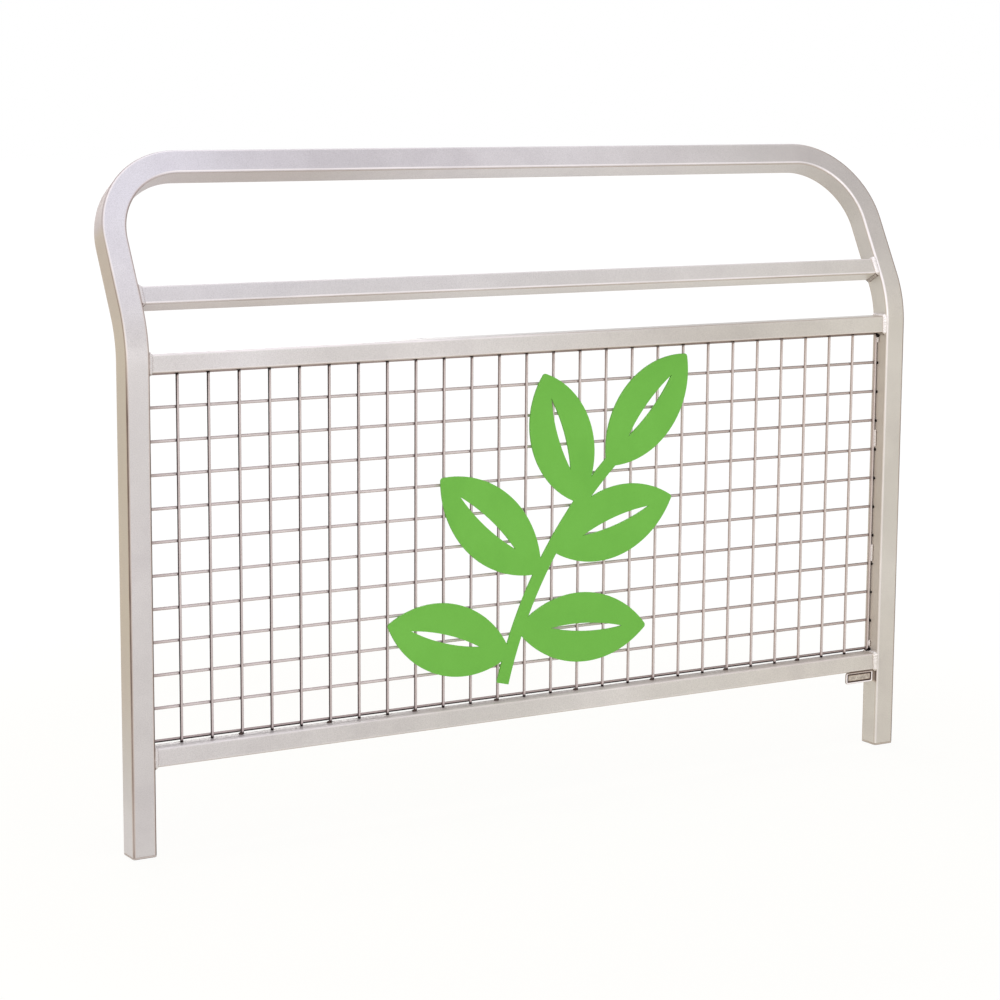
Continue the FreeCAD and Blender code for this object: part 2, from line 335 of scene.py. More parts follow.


# tints multiplied into a coat, and where each sets in, in metres: none at the first place, all at the second
# a yellow tint that grows towards the right
YELLOW_TO_RIGHT = (1.0, 0.983, 0.885)
YELLOW_TO_RIGHT_X = (0.15, 1.45)
# painted warm light on the left post's outer side, fading out at the foot and at the top
WARM_SIDE = (1.0, 0.975, 0.84)
WARM_SIDE_X = (-0.0172, -0.0195)
WARM_SIDE_FOOT = (0.05, 0.38)
WARM_SIDE_TOP = (1.06, 1.0)
# painted cool light near the top
COOL_TOP = (0.98, 0.985, 1.055)
COOL_TOP_Z = (0.80, 1.02)
# a coat's tone at the least and the greatest shade, that is under painted shade and under painted light
DEEP_TONE = (0.80, 0.785, 0.775)
PALE_TONE = (1.19, 1.20, 1.23)
PLAIN_TONE = (1.0, 1.0, 1.0)
# the scale of the larger patches as a share of the mottle's; scales of the bumps and of the flake
DRIFT_SHARE = 0.22
WAVE_SCALE = 160.0
PEEL_SCALE = 900.0
FLAKE_SCALE = 650.0


def mottled(tree, coords, cloud, cell, tints):
    """Base colour that goes over three tints with the cloud, and to a fourth in larger patches."""
    base = ramp(tree, cloud, [(0.36, tints[0]), (0.5, tints[1]), (0.64, tints[2])])
    drift = noise_value(tree, coords, cell * DRIFT_SHARE, detail=3.0, rough=0.5)
    share = remap(tree, drift, 0.0, 0.7, from_low=0.38, from_high=0.66)
    return mix_colour(tree, share, base, tints[3])


def tinted_by_place(tree, coords, base, warmth):
    """Yellower to the right, with painted warm light on the left post's outer side and painted cool
    light near the top.
    """
    split = tree.nodes.new("ShaderNodeSeparateXYZ")
    tree.links.new(coords, split.inputs[0])
    x, z = split.outputs["X"], split.outputs["Z"]
    base = tinted(tree, remap(tree, x, 0.0, warmth, *YELLOW_TO_RIGHT_X), base, YELLOW_TO_RIGHT)
    side = remap(tree, x, 0.0, warmth, *WARM_SIDE_X)
    side = math_node(tree, "MULTIPLY", side, remap(tree, z, 0.0, 1.0, *WARM_SIDE_FOOT))
    side = math_node(tree, "MULTIPLY", side, remap(tree, z, 0.0, 1.0, *WARM_SIDE_TOP))
    base = tinted(tree, side, base, WARM_SIDE)
    return tinted(tree, remap(tree, z, 0.0, warmth, *COOL_TOP_Z), base, COOL_TOP)


def flaked(tree, coords, base, sparkle):
    """Fine metal flake."""
    dark = 1 - 0.12 * sparkle
    light = 1 + 0.11 * sparkle
    grain = noise_value(tree, coords, FLAKE_SCALE, detail=2.0, rough=0.7)
    flake = ramp(tree, grain, [(0.32, (dark,) * 3), (0.5, PLAIN_TONE), (0.72, (light,) * 3)])
    return multiplied(tree, base, flake)


def shaded(tree, base):
    """Darker or paler by the shade at each vertex: painted shade and painted light, partly the coat's own
    tone.
    """
    depth = remap(tree, attribute(tree, "shade"), 0.0, 1.0, -SHADE_LIMIT, SHADE_LIMIT)
    tone = ramp(tree, depth, [(0.0, DEEP_TONE), (0.5, PLAIN_TONE), (1.0, PALE_TONE)])
    return multiplied(tree, base, tone)


def dulled_and_shaded(tree, patchy, crevice, open_share):
    """How dull and dark the coat is: by the grime and painted shade at each vertex, and wherever
    other faces are near, where the darkening is painted shade with some dirt in the crevices.
    """
    hollow = tree.nodes.new("ShaderNodeAmbientOcclusion")
    hollow.samples = 8
    hollow.inputs["Distance"].default_value = crevice
    shut = remap(tree, hollow.outputs["AO"], 1.0, 0.0, from_low=0.10, from_high=open_share)
    grime_and_shade_share = math_node(tree, "MULTIPLY", attribute(tree, "grime_and_shade"), patchy)
    return math_node(tree, "MAXIMUM", grime_and_shade_share, shut)


def coated(name, tints, bright, dirt_and_shade, metallic, rough, cell=14.0, peel=0.10, specular=0.4,
           crevice=0.012, open_share=0.62, sparkle=1.0, warmth=1.0):
    """Satin coating: mottled tint, fine flake, orange peel, edges lightened by wear and painted
    highlights, and crevices dulled by dirt and darkened with painted shade.

    cell is the mottle's scale, peel the strength of the orange peel, crevice the reach in metres
    within which other faces dull the coat and darken it with painted shade, open_share how open a
    place must be to stay clean and unshaded, sparkle the strength of the flake, and warmth that of
    the tints that go by place, among them painted warm and cool light."""
    material, tree = new_material(name)
    out = tree.nodes.new("ShaderNodeOutputMaterial")
    shader = tree.nodes.new("ShaderNodeBsdfPrincipled")
    tree.links.new(shader.outputs["BSDF"], out.inputs["Surface"])
    coords = tree.nodes.new("ShaderNodeTexCoord").outputs["Object"]

    cloud = noise_value(tree, coords, cell, detail=5.0, rough=0.6)
    patchy = remap(tree, cloud, 0.75, 0.9, from_low=0.3, from_high=0.7)
    base = mottled(tree, coords, cloud, cell, tints)
    base = tinted_by_place(tree, coords, base, warmth)
    base = flaked(tree, coords, base, sparkle)
    base = shaded(tree, base)
    # wear and painted highlights lighten the coat towards the bright colour
    wear_and_highlight_share = math_node(tree, "MULTIPLY", attribute(tree, "wear_and_highlight"), patchy)
    base = mix_colour(tree, wear_and_highlight_share, base, bright)
    # grime, painted shade and the nearness of other faces dull the coat and darken it towards the stain
    # colours; the darkening is painted shade with some dirt
    dull_and_shade = dulled_and_shaded(tree, patchy, crevice, open_share)
    stain_and_shade = ramp(tree, dull_and_shade, [(0.15, dirt_and_shade[0]), (0.55, dirt_and_shade[1]), (0.95, dirt_and_shade[2])])
    base = mix_colour(tree, remap(tree, dull_and_shade, 0.0, 1.0, from_low=0.0, from_high=0.9), base, stain_and_shade)

    tree.links.new(base, shader.inputs["Base Color"])
    if metallic > 0:
        tree.links.new(remap(tree, dull_and_shade, metallic, 0.0), shader.inputs["Metallic"])
    shader.inputs["Specular IOR Level"].default_value = specular
    uneven_gloss = remap(tree, cloud, rough[0], rough[1], from_low=0.3, from_high=0.7)
    roughness = math_node(tree, "MULTIPLY_ADD", dull_and_shade, 0.5, uneven_gloss)
    tree.links.new(roughness, shader.inputs["Roughness"])
    wave_height = noise_value(tree, coords, WAVE_SCALE, detail=3.0)
    waves = bump(tree, wave_height, strength=0.10, distance=0.0004)
    peel_height = noise_value(tree, coords, PEEL_SCALE, detail=2.0)
    fine = bump(tree, peel_height, strength=peel, distance=0.0002, under=waves)
    tree.links.new(fine, shader.inputs["Normal"])
    return material


# each coat's tints: three that the mottle goes over, and the one in the larger patches
SILVER = (
    (0.580, 0.550, 0.572),
    (0.612, 0.583, 0.602),
    (0.640, 0.612, 0.630),
    (0.596, 0.576, 0.586),
)
WIRE_TINTS = (
    (0.485, 0.420, 0.430),
    (0.540, 0.470, 0.485),
    (0.590, 0.520, 0.535),
    (0.510, 0.440, 0.450),
)
GREEN = (
    (0.152, 0.475, 0.060),
    (0.162, 0.493, 0.065),
    (0.170, 0.508, 0.071),
    (0.158, 0.485, 0.063),
)
TAG_TINTS = (
    (0.20, 0.165, 0.15),
    (0.45, 0.40, 0.37),
    (0.72, 0.665, 0.64),
    (0.42, 0.37, 0.34),
)
BRIGHT_COAT = (0.93, 0.88, 0.91)
BRIGHT_GREEN = (0.20, 0.52, 0.11)
# dirt and painted shade, from thin to thick
BROWN_DIRT_AND_SHADE = ((0.47, 0.32, 0.21), (0.27, 0.175, 0.14), (0.06, 0.038, 0.032))
BLACK_DIRT_AND_SHADE = ((0.33, 0.20, 0.17), (0.115, 0.062, 0.066), (0.010, 0.006, 0.006))
DARK_GREEN = ((0.10, 0.30, 0.04), (0.05, 0.15, 0.03), (0.015, 0.05, 0.01))

steel = coated(
    "satin_silver_coat", SILVER, BRIGHT_COAT, BROWN_DIRT_AND_SHADE,
    metallic=0.25, rough=(0.30, 0.42), specular=0.25)
weld_steel = coated(
    "coated_weld_metal", SILVER, BRIGHT_COAT, BROWN_DIRT_AND_SHADE,
    metallic=0.35, rough=(0.22, 0.34), cell=60.0, peel=0.2, crevice=0.006, open_share=0.5)
wire_steel = coated(
    "coated_wire", WIRE_TINTS, BRIGHT_COAT, BLACK_DIRT_AND_SHADE,
    metallic=0.15, rough=(0.28, 0.40), cell=40.0, specular=0.2, crevice=0.008, open_share=0.5)
green = coated(
    "leaf_green_powder_coat", GREEN, BRIGHT_GREEN, DARK_GREEN,
    metallic=0.0, rough=(0.46, 0.56), cell=12.0, peel=0.14, specular=0.3,
    crevice=0.004, open_share=0.4, sparkle=0.25, warmth=0.0)
tag_metal = coated(
    "cast_tag_metal", TAG_TINTS, BRIGHT_COAT, BROWN_DIRT_AND_SHADE,
    metallic=0.3, rough=(0.30, 0.44), cell=260.0, peel=0.6, crevice=0.004, open_share=0.6)


# tones of the square tubes: painted highlights and painted dark reflections along the corners, with
# some wear and grime; a mark is a soft line along a corner, as (amount, middle, width)
NO_MARK = (0.0, 0.0, 1.0)
UNEVEN_LENGTH = 90.0
WEAR_AND_HIGHLIGHT_SEED = 3.1
GRIME_AND_SHADE_SEED = 8.2
RAIL_WEAR_AND_HIGHLIGHT_SEED = 1.7
RAIL_GRIME_AND_SHADE_SEED = 5.5


def line(turn, middle, width):
    """A soft line along a corner."""
    return math.exp(-((turn - middle) / width) ** 2)


def uneven(point, seed, reach=0.6):
    """Slow variation along an edge, about 1."""
    return 1 + reach * noise.noise(Vector(point) / UNEVEN_LENGTH + Vector((seed, 0, 0)))


def sideways(turn):
    """From 0 on a tube's front and back faces to 1 on the other two."""
    return min(1.0, max(0.0, 1 - turn))


def blend(shares, values):
    return sum(share * value for share, value in zip(shares, values))


def marked(shares, turn, *marks):
    """Blends soft lines along a corner, one for each share."""
    return blend(shares, [amount * line(turn, middle, width) for amount, middle, width in marks])


# hoop: one square tube from foot to foot
LEG_STEP = 44.6
LEG_STATIONS = 17
LEG_FIRST_STATION = FOOT_CAP + 20
BEND_STEPS = 20
CORNER_STEPS = 36
# heights between which the right post's front edge carries a painted shadow beside the tag
TAG_SHADE = (RAIL_UNDER - 25, RAIL_UNDER - 20, RAIL_UNDER, RAIL_UNDER + 3)
TAG_SHADE_MIDDLE = RAIL_UNDER - 10
# heights between which a brown film with painted shade lies on the right post's inner side
RIGHT_FILM_AND_SHADE = (150, 190, 740, 790)
# a post's tone fades out from here to the end of the top corner
POST_REACH = 30
# the lean's tone sets in over the bend
LEAN_SETS_IN = (LEG_HEIGHT - 80, LEG_HEIGHT + 60)
FOOT_PINCH = 0.975
FOOT_GRIME = 0.6
# x, height, radius, amount; partly the coat's own tone and partly painted light and shade
HOOP_PATCHES = (
    (1430, 1040, 190, -0.95),
    (400, 1086, 190, -0.65),
    (860, 1086, 130, 0.35),
    (20, 1010, 190, 0.75),
    (0, 620, 130, -0.25),
    (0, 240, 150, -0.2),
    (1460, 310, 70, 0.6),
    (1460, 700, 70, 0.4),
)


def hoop_half():
    """Stations (origin, across, deep) from the left foot to near the middle of the top rail."""
    heights = [FOOT_CAP, FOOT_CAP + 0.6, LEG_HEIGHT - 4, *TAG_SHADE, TAG_SHADE_MIDDLE]
    heights += [LEG_FIRST_STATION + LEG_STEP * k for k in range(LEG_STATIONS)]
    stations = [(Vector((0, 0, z)), -X_AXIS, Y_AXIS) for z in sorted(heights)]
    for k in range(BEND_STEPS + 1):
        phi = LEAN * k / BEND_STEPS
        deep = Vector((0, math.cos(phi), -math.sin(phi)))
        place = Vector((0, LEAN_RADIUS, LEG_HEIGHT)) - deep * LEAN_RADIUS
        stations.append((place, -X_AXIS, deep))
    straight = LEAN_LENGTH - TOP_CORNER_RADIUS
    for share in (0.04, 0.35, 0.65, 0.96):
        stations.append((BEND_END + UP_LEAN * straight * share, -X_AXIS, BACK_LEAN))
    middle = BEND_END + UP_LEAN * straight + X_AXIS * TOP_CORNER_RADIUS
    for k in range(CORNER_STEPS + 1):
        psi = math.pi / 2 * k / CORNER_STEPS
        across = UP_LEAN * math.sin(psi) - X_AXIS * math.cos(psi)
        stations.append((middle + across * TOP_CORNER_RADIUS, across, BACK_LEAN))
    run = POST_PITCH / 2 - TOP_CORNER_RADIUS
    for share in (0.01, 0.2, 0.4, 0.6, 0.8):
        place = middle + UP_LEAN * TOP_CORNER_RADIUS + X_AXIS * run * share
        stations.append((place, UP_LEAN, BACK_LEAN))
    return stations


def hoop_shares(point):
    """How far a point belongs to the left leg, the left lean, the top rail and the right side."""
    left = 1 - smooth(POST_REACH, TOP_CORNER_RADIUS, point.x)
    right = smooth(POST_PITCH - TOP_CORNER_RADIUS, POST_PITCH - POST_REACH, point.x)
    low = 1 - smooth(*LEAN_SETS_IN, point.z)
    return left * low, left * (1 - low), 1 - left - right, right


def hoop_edges(point, corner, turn, shares):
    """Painted highlights and painted dark reflections along the hoop's corners, with some wear and grime."""
    if corner == FRONT_OUTER:
        leg_dark_line = 0.87 + 0.12 * smooth(150, 350, point.z) + 0.2 * smooth(600, 700, point.z)
        lean_dark_line = 0.78 - 0.2 * smooth(900, 980, point.z)
        wear_and_highlight = marked(shares, turn, (0.2, 1.0, 0.12), (0.75, 0.85, 0.2), (0.45, 0.75, 0.2), NO_MARK)
        grime_and_shade = marked(
            shares, turn,
            (leg_dark_line, 0.55, 0.42), (lean_dark_line, 0.35, 0.28), (0.15, 0.3, 0.2), (1.25, 0.55, 0.45))
    elif corner == FRONT_INNER:
        right_wear_and_highlight = 0.6 + 0.7 * smooth(640, 800, point.z)
        wear_and_highlight = marked(
            shares, turn,
            (0.2, 1.0, 0.08), (0.2, 1.0, 0.08), (1.1, 0.9, 0.18), (right_wear_and_highlight, 0.65, 0.36))
        grime_and_shade = marked(
            shares, turn,
            (1.1, 0.6, 0.36), (0.8, 0.6, 0.36), (0.5, 0.25, 0.25), (0.5, 0.0, 0.12))
    else:
        wear_and_highlight = 0.3 * line(turn, 0.6, 0.2)
        grime_and_shade = 0.5 * line(turn, 0.14, 0.18)
    return wear_and_highlight, grime_and_shade


def hoop_tone(point, corner, turn):
    """Painted highlights, with some wear, along edges that face up or in, and painted dark
    reflections, with some brown stain, along those that face away; a thin brown film and painted
    shade lie on the sides, which get painted light in places."""
    shares = hoop_shares(point)
    leg, lean, top, right = shares
    wear_and_highlight, grime_and_shade = hoop_edges(point, corner, turn, shares)
    if corner == FRONT_INNER:
        # painted shadow on the right post's front edge beside the tag
        grime_and_shade += 0.95 * right * within(TAG_SHADE, point.z) * (1 - smooth(0.2, 0.5, turn))
    if corner in (BACK_INNER, FRONT_INNER):
        shade = blend(shares, (0.0, 0.0, smooth(250, 550, point.x), 0.45))
        film_and_shade = 0.22 * (lean + top) * (1 - smooth(200, 700, point.x))
        film_and_shade += 0.28 * right * within(RIGHT_FILM_AND_SHADE, point.z)
    else:
        shade = 0.7 * (leg + lean) * (1 - smooth(0, 150, point.z))
        lean_film_and_shade = 0.3 + 0.12 * smooth(790, 900, point.z) + 0.16 * smooth(980, 1040, point.z)
        film_and_shade = 0.3 * smooth(80, 300, point.z) * leg + lean_film_and_shade * lean
    aside = sideways(turn)
    grime_and_shade = max(aside * film_and_shade, grime_and_shade * uneven(point, GRIME_AND_SHADE_SEED, reach=0.25))
    return wear_and_highlight * uneven(point, WEAR_AND_HIGHLIGHT_SEED), grime_and_shade, aside * shade


def make_tube(build, name, node):
    """One coated piece of square tube, with flat sides and smoothly rounded edges."""
    build.make(name, [node], "coated_steel", steel, flat_faces=True, sharp=TUBE_SHARP)


build = Build()
left_half = hoop_half()
right_half = [
    (Vector((POST_PITCH - place.x, place.y, place.z)), Vector((-across.x, across.y, across.z)), deep)
    for place, across, deep in left_half[::-1]
]
tube_profile = square_profile(TUBE, TUBE_EDGE)
rings = sweep(build, tube_profile, left_half + right_half, hoop_tone, HOOP_PATCHES)
for ring, centre_x in ((rings[0], 0.0), (rings[-1], POST_PITCH)):
    for v in ring:
        x, y, z = build.verts[v]
        build.verts[v] = (centre_x + (x - centre_x) * FOOT_PINCH, y * FOOT_PINCH, z)
        build.grime_and_shade[v] = FOOT_GRIME
make_tube(build, "hoop", "hoop_tube")

# foot caps, from rings: height, share of the tube's outline, grime
FOOT_CAP_RINGS = (
    (0.0, 0.965, 0.6),
    (0.7, 0.998, 0.45),
    (FOOT_CAP - 0.7, 0.998, 0.25),
    (FOOT_CAP, 0.97, 0.6),
)
for side, x in (("left", 0.0), ("right", POST_PITCH)):
    build = Build()
    rings = []
    for z, share, grime_and_shade in FOOT_CAP_RINGS:
        outline = [(x - a * share, b * share, z) for a, b, turn, corner in tube_profile]
        rings.append([build.add(point, grime_and_shade=grime_and_shade) for point in outline])
    build.skin(rings)
    make_tube(build, side + "_foot_plate", side + "_foot_cap")


# cross rails
RAIL_STEPS = 48
RAILS = (
    ("bottom_rail", Vector((0, 0, BOTTOM_RAIL_HEIGHT)), Z_AXIS, Y_AXIS),
    ("panel_top_rail", Vector((0, 0, LEG_HEIGHT)), Z_AXIS, Y_AXIS),
    ("mid_rail", BEND_END + UP_LEAN * MID_RAIL_PAST_BEND, UP_LEAN, BACK_LEAN),
)


def bottom_rail_tone(point, corner, turn):
    """Darker on top, with a painted highlight and some wear along its upper front edge, and painted
    shade with some stain along the lower.
    """
    far = smooth(150, 700, point.x)
    on_top = corner in (BACK_OUTER, FRONT_OUTER) and turn <= 0
    top = 0.08 + 0.14 * far if on_top else 0.0
    if corner == FRONT_OUTER:
        wear_and_highlight = 0.6 * line(turn, 0.5, 0.35)
        grime_and_shade = 0.2 * far * line(turn, 0.45, 0.38)
    elif corner == FRONT_INNER:
        wear_and_highlight = 0.4 * line(turn, 0.9, 0.18)
        grime_and_shade = 0.5 * line(turn, 0.35, 0.3)
    else:
        wear_and_highlight = 0.2 * line(turn, 0.6, 0.25)
        grime_and_shade = (0.4 + 0.5 * far) * line(turn, 0.2, 0.4)
    return wear_and_highlight * uneven(point, RAIL_WEAR_AND_HIGHLIGHT_SEED), max(top, grime_and_shade) * uneven(point, RAIL_GRIME_AND_SHADE_SEED), 0.0


def panel_rail_tone(point, corner, turn):
    """A painted highlight with some wear along its upper edge, and dark lines of painted shade with
    some stain there to the right and along its lower edge.
    """
    far = smooth(500, 950, point.x)
    if corner == FRONT_OUTER:
        wear_and_highlight = 0.9 * (1 - far) * line(turn, 0.6, 0.35)
        grime_and_shade = 0.6 * far * line(turn, 0.15, 0.35)
    elif corner == FRONT_INNER:
        wear_and_highlight = 0.5 * line(turn, 0.95, 0.15)
        grime_and_shade = (0.65 + 0.4 * far) * line(turn, 0.25, 0.45)
    else:
        wear_and_highlight = 0.3 * line(turn, 0.6, 0.25)
        grime_and_shade = (0.8 if corner == BACK_INNER else 0.1) * line(turn, 0.14, 0.2)
    return wear_and_highlight * uneven(point, RAIL_WEAR_AND_HIGHLIGHT_SEED), grime_and_shade * uneven(point, RAIL_GRIME_AND_SHADE_SEED), 0.0


def mid_rail_tone(point, corner, turn):
    """Painted highlights with some wear along its front edges, a dark line of painted shade with
    some stain under the lower one, a brown film with painted shade under its left part, and painted
    light below.
    """
    if corner == FRONT_OUTER:
        wear_and_highlight = 0.5 * line(turn, 0.7, 0.25)
        grime_and_shade = 0.10 * line(turn, 0.4, 0.2)
    elif corner == FRONT_INNER:
        wear_and_highlight = 1.1 * line(turn, 0.9, 0.18)
        grime_and_shade = 0.55 * line(turn, 0.28, 0.26)
    else:
        wear_and_highlight = 0.3 * line(turn, 0.6, 0.25)
        grime_and_shade = (0.5 if corner == BACK_INNER else 0.1) * line(turn, 0.14, 0.2)
    under = sideways(turn) if corner in (BACK_INNER, FRONT_INNER) else 0.0
    film_and_shade = 0.2 * under * (1 - smooth(200, 700, point.x))
    grime_and_shade = max(film_and_shade, grime_and_shade * uneven(point, RAIL_GRIME_AND_SHADE_SEED))
    return wear_and_highlight * uneven(point, RAIL_WEAR_AND_HIGHLIGHT_SEED), grime_and_shade, 0.8 * under


RAIL_TONES = {
    "bottom_rail": bottom_rail_tone,
    "panel_top_rail": panel_rail_tone,
    "mid_rail": mid_rail_tone,
}
# x, radius, amount; all at the rail's own height; partly the coat's own tone and partly painted light and
# shade
RAIL_PATCHES = {
    "bottom_rail": ((850, 110, 0.8), (1100, 120, 0.45), (1330, 90, 0.4), (60, 120, 0.15)),
    "panel_top_rail": ((190, 70, 0.7), (600, 190, 0.6), (1090, 150, -0.55), (1380, 60, 0.3)),
    "mid_rail": ((1090, 220, 0.5), (600, 150, 0.3)),
}
rail_profile = square_profile(RAIL, RAIL_EDGE)
for name, place, up, back in RAILS:
    build = Build()
    xs = [POST_FACE + (RIGHT_FACE - POST_FACE) * k / RAIL_STEPS for k in range(RAIL_STEPS + 1)]
    rail_stations = [(place + X_AXIS * x, up, back) for x in xs]
    places = [(x, round(place.z), radius, amount) for x, radius, amount in RAIL_PATCHES[name]]
    sweep(build, rail_profile, rail_stations, RAIL_TONES[name], places)
    make_tube(build, name + "_tube", name)

# welds round the rails' ends: legs along the post and the rail, ripple, and how deep the root is sunk
WELD_STEP = 0.42
WELD_STEPS = 12
WELD_ON_POST = 4.25
WELD_ON_RAIL = 6.4
WELD_HOLLOW = 1.4
WELD_RIPPLE = 2.9
WELD_IN_RAIL = 0.8
WELD_UNDER_TOE = 5.2
WELD_IN_POST = 2.6
WELD_SHINE = 0.55
# the upper rails' welds at the right post carry a brighter painted highlight
BRIGHTER_WELD_SHINE = 0.95


def square_path(side, edge, step):
    """Points round a rounded square, evenly spaced: (a, b, normal a, normal b, distance)."""
    reach = side / 2 - edge
    straight = 2 * reach
    arc = edge * math.pi / 2
    total = 4 * (straight + arc)
    count = round(total / step)
    path = []
    for i in range(count):
        s = total * i / count
        corner, t = divmod(s, straight + arc)
        if t < straight:
            point = Vector((side / 2, -reach + t))
            normal = Vector((1, 0))
        else:
            angle = (t - straight) / edge
            normal = Vector((math.cos(angle), math.sin(angle)))
            point = Vector((reach, reach)) + normal * edge
        spin = Matrix.Rotation(corner * math.pi / 2, 2)
        path.append((*(spin @ point), *(spin @ normal), s))
    return path


def post_drop(across):
    """How far the post's rounded corner falls away at a distance from its centre plane."""
    over = min(TUBE_EDGE, max(0.0, abs(across) - (TUBE / 2 - TUBE_EDGE)))
    return TUBE_EDGE - math.sqrt(TUBE_EDGE ** 2 - over ** 2)


def weld_tone(share, ripple, under, way, shine):
    """Painted highlights with some wear on the crests, and painted shade with some grime at the toes
    and underneath; under tells how far the weld faces down.
    """
    alpha = math.pi / 2 * share
    post_toe = line(share, 0.0, 0.14)
    rail_toe = line(share, 1.0, 0.18)
    wear_and_highlight = shine * (1.1 - 0.6 * ripple) * math.sin(2 * alpha) * (1 - 0.7 * under)
    grime_and_shade = (1.4 if way > 0 else 0.45) * rail_toe + 1.2 * under * (1 - ripple)
    if way > 0:
        grime_and_shade += 0.9 * post_toe
    return wear_and_highlight, grime_and_shade


def fillet_weld(build, place, up, back, way, seed, shine):
    """Rippled fillet weld round a rail's end; way is 1 at the left post and -1 at the right one."""
    rings = []
    for a, b, na, nb, s in square_path(RAIL, RAIL_EDGE, WELD_STEP):
        wobble = noise.noise(Vector((s * 0.09, seed * 7.3, 0.5)))
        lump = noise.noise(Vector((s * 0.33, seed * 3.1, 4.5)))
        under = smooth(0.2, 0.8, -na)
        ring = []
        for k in range(WELD_STEPS + 1):
            share = k / WELD_STEPS
            alpha = math.pi / 2 * share
            phase = s / WELD_RIPPLE + 0.30 * math.cos(2 * alpha) + 0.18 * wobble
            ripple = 0.5 + 0.5 * math.cos(2 * math.pi * phase)
            swell = 1 + 0.14 * wobble + 0.08 * lump - 0.075 * ripple ** 2 * math.sin(2 * alpha)
            out = WELD_ON_POST * math.cos(alpha) ** WELD_HOLLOW * swell
            reach = WELD_ON_RAIL * math.sin(alpha) ** WELD_HOLLOW * swell
            deep = b + nb * out
            point = place + up * (a + na * out) + back * deep
            point += X_AXIS * (way * (reach - post_drop(deep) * (1 - share)))
            ring.append(build.add(point, *weld_tone(share, ripple, under, way, shine)))
        low = place + up * (a - na * WELD_IN_RAIL) + back * (b - nb * WELD_IN_RAIL)
        high = place + up * (a + na * WELD_IN_POST) + back * (b + nb * WELD_IN_POST)
        ring.append(build.add(low + X_AXIS * (way * WELD_UNDER_TOE)))
        ring.append(build.add(low - X_AXIS * (way * WELD_IN_POST)))
        ring.append(build.add(high - X_AXIS * (way * WELD_IN_POST)))
        rings.append(ring)
    build.skin(rings, path_closed=True)


for index, (name, place, up, back) in enumerate(RAILS):
    for side, x, way in (("left", POST_FACE, 1), ("right", RIGHT_FACE, -1)):
        build = Build()
        brighter = side == "right" and name != "bottom_rail"
        shine = BRIGHTER_WELD_SHINE if brighter else WELD_SHINE
        fillet_weld(build, place + X_AXIS * x, up, back, way, index * 2 + (way > 0), shine)
        build.make(name + "_bead_" + side, [name + "_weld_" + side], "weld", weld_steel)


# welded mesh; a wire's stations stand at these distances from its ends, and at about one step between
WIRE_END_STOPS = (0.0, 0.5, 2.0, 4.0, 7.0, 11.0, 16.0, 22.0)
WIRE_STEP = 26.0
WIRE_SIDES = 16
WIRE_END_SHARE = 0.84
WIRE_SWAY = 0.16
WIRE_LIFT = 0.10
WIRE_WAVE = 0.006
FIRST_ROW_SEED = 50
# half sizes of the lumps of weld metal: where wires cross, at the rows' ends, and the tacks
CROSSING = (2.9, 1.4, 2.5)
ROW_END = (2.2, 2.6, 2.6)
TACK = (3.9, 3.9, 3.3)
# the lumps in the mesh's corners: height of the middle, half sizes
CORNER_LUMPS = (
    (PANEL_HIGH - 5.0, (5.5, 4.0, 5.5)),
    (PANEL_LOW + 3.5, (5.5, 4.0, 3.5)),
)
# how far the lumps' middles stand from a post's face, and in front of the uprights
LUMP_FROM_POST = 0.4
ROW_END_IN_FRONT = 0.8
CORNER_IN_FRONT = 1.0


def wire_stops(length):
    """Distances of a wire's stations from its start, closer together near its ends."""
    reach = WIRE_END_STOPS[-1]
    middle = length - 2 * reach
    count = round(middle / WIRE_STEP)
    between = [reach + middle * k / count for k in range(1, count)]
    return [*WIRE_END_STOPS, *between, *[length - s for s in WIRE_END_STOPS[::-1]]]


def wire(build, start, end, seed, tone):
    """Round drawn wire, very slightly wavy, with broken edges at its cut ends."""
    along = (end - start).normalized()
    deep = along.cross(Y_AXIS)
    length = (end - start).length
    rings = []
    for s in wire_stops(length):
        edge = min(s, length - s)
        radius = WIRE / 2 * (WIRE_END_SHARE if edge <= 0 else 1.0)
        sway = WIRE_SWAY * noise.noise(Vector((s * WIRE_WAVE, seed * 3.7, 1.5)))
        lift = WIRE_LIFT * noise.noise(Vector((s * WIRE_WAVE, seed * 3.7, 8.5)))
        centre = start + along * s + deep * sway + Y_AXIS * lift
        ring = []
        for k in range(WIRE_SIDES):
            angle = 2 * math.pi * k / WIRE_SIDES
            outward = Y_AXIS * math.cos(angle) + deep * math.sin(angle)
            point = centre + outward * radius
            ring.append(build.add(point, *tone(point, outward, edge)))
        rings.append(ring)
    build.skin(rings)


def upright_tone(point, outward, edge):
    """Painted shade along its flanks, under the top rail and at its foot, a painted highlight along
    the front, and paler towards the right; it needs no distance to the wire's end."""
    across = point.x / POST_PITCH
    left = 1 - smooth(0.15, 0.75, across)
    flank = (0.4 + 0.75 * left) * smooth(0.45, 0.85, -outward.x) + 0.3 * smooth(0.6, 1.0, outward.x)
    flank = max(flank, 0.15 * left)
    down = PANEL_HIGH - point.z
    top = 1 - smooth(3, 7 - 2 * across, down)
    streak = (1 - 0.8 * across) * (1 - smooth(14, 45, down)) * smooth(0.2, 0.7, -outward.x)
    foot = 1.4 * (1 - smooth(1, 7, point.z - PANEL_LOW))
    # the last upright's flank towards the right post carries a painted shadow of the gap
    if point.x > RIGHT_FACE - 8:
        flank = max(flank, 0.75 * smooth(0.45, 0.75, outward.x))
    wear_and_highlight = 0.4 * smooth(0.55, 1.0, -outward.y) * (1 - top)
    grime_and_shade = max(flank, 1.5 * top, 1.3 * streak, foot)
    return wear_and_highlight, grime_and_shade, 0.5 * smooth(0.4, 0.9, across)


